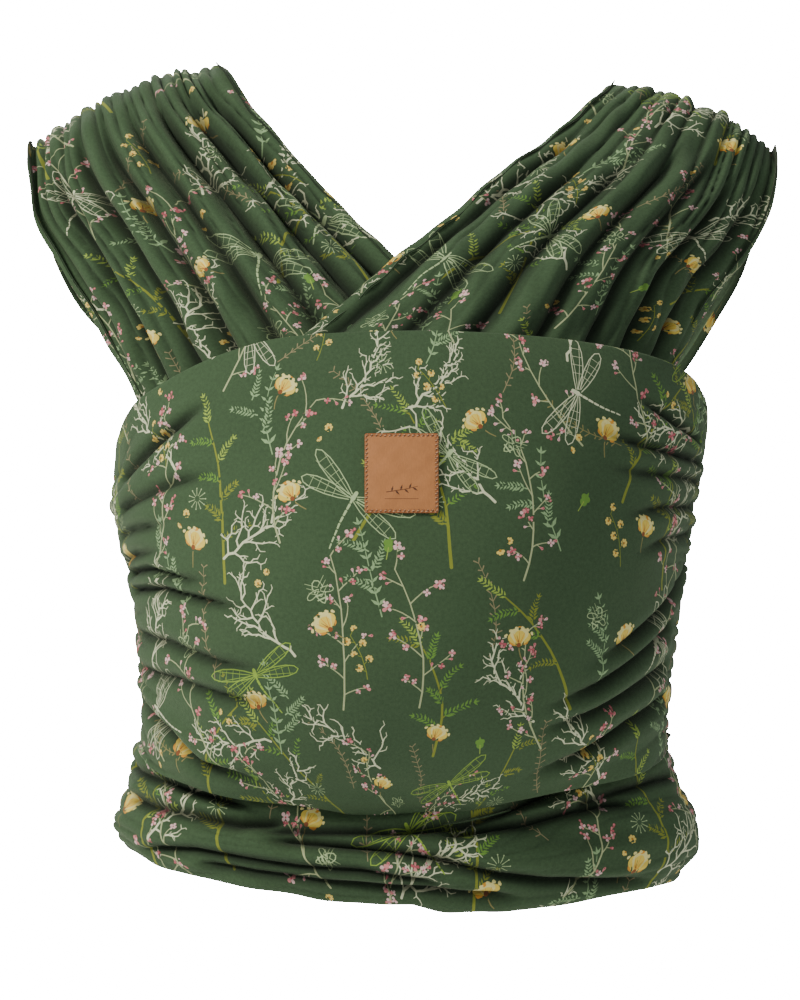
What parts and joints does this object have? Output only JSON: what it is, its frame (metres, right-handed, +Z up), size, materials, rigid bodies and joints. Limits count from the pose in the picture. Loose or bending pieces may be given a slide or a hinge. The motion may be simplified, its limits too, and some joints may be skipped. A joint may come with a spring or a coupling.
{
  "type": "stretch wrap baby carrier",
  "caption": "Stretch jersey wrap carrier as worn: broad front pocket under crossed shoulder passes, gathered waist wrap tied behind, leather patch on the front.",
  "frame": {"origin": "middle of the wearer's waist, at the height of the middle of the waist wrap", "axes": "+Z up along the wearer, the wearer faces -Y, +X to the wearer's left"},
  "size_m": [0.4983, 0.4108, 0.5498],
  "materials": {
    "printed_jersey": "matte fine knit with a printed meadow of flowers, twigs and insects",
    "patch_leather": "matte grained tan leather",
    "patch_thread": "twisted brown thread",
    "label_satin": "smooth woven satin"
  },
  "bodies": {
    "wrap": {"left_side_wrap": "printed_jersey", "right_side_wrap": "printed_jersey", "left_back_cross": "printed_jersey", "right_back_cross": "printed_jersey", "left_front_cross": "printed_jersey", "right_front_cross": "printed_jersey", "waist_front": "printed_jersey", "left_hip_wrap": "printed_jersey", "right_hip_wrap": "printed_jersey", "knot_core": "printed_jersey", "knot_loop": "printed_jersey"},
    "pocket": {"front_panel": "printed_jersey", "leather_patch": "patch_leather", "patch_stitches": "patch_thread"},
    "left_strap": {"left_chest_strap": "printed_jersey", "left_shoulder_cap": "printed_jersey", "left_back_strap": "printed_jersey"},
    "right_strap": {"right_chest_strap": "printed_jersey", "right_shoulder_cap": "printed_jersey", "right_back_strap": "printed_jersey"},
    "left_tail": {"left_tail": "printed_jersey", "care_label": "label_satin"},
    "right_tail": {"right_tail": "printed_jersey"}
  },
  "joints": [
    {"name": "pocket_open", "type": "hinge", "parent": "wrap", "child": "pocket", "pos_m": [0, -0.146, 0.016], "axis": [1, 0, 0], "range_deg": [0, 9], "stiffness_Nm_per_rad": 6, "springref_deg": -5.73},
    {"name": "left_strap_slide", "type": "hinge", "parent": "wrap", "child": "left_strap", "pos_m": [0.02, -0.195, 0.285], "axis": [0, -0.7507, 0.6607], "range_deg": [0, 3]},
    {"name": "right_strap_slide", "type": "hinge", "parent": "wrap", "child": "right_strap", "pos_m": [-0.02, -0.185, 0.285], "axis": [0, -0.7507, 0.6607], "range_deg": [-3, 0]},
    {"name": "left_tail_swing", "type": "hinge", "parent": "wrap", "child": "left_tail", "pos_m": [0.024, 0.137, 0], "axis": [1, 0, 0], "range_deg": [0, 40]},
    {"name": "right_tail_swing", "type": "hinge", "parent": "wrap", "child": "right_tail", "pos_m": [-0.024, 0.137, 0], "axis": [1, 0, 0], "range_deg": [0, 40]}
  ]
}
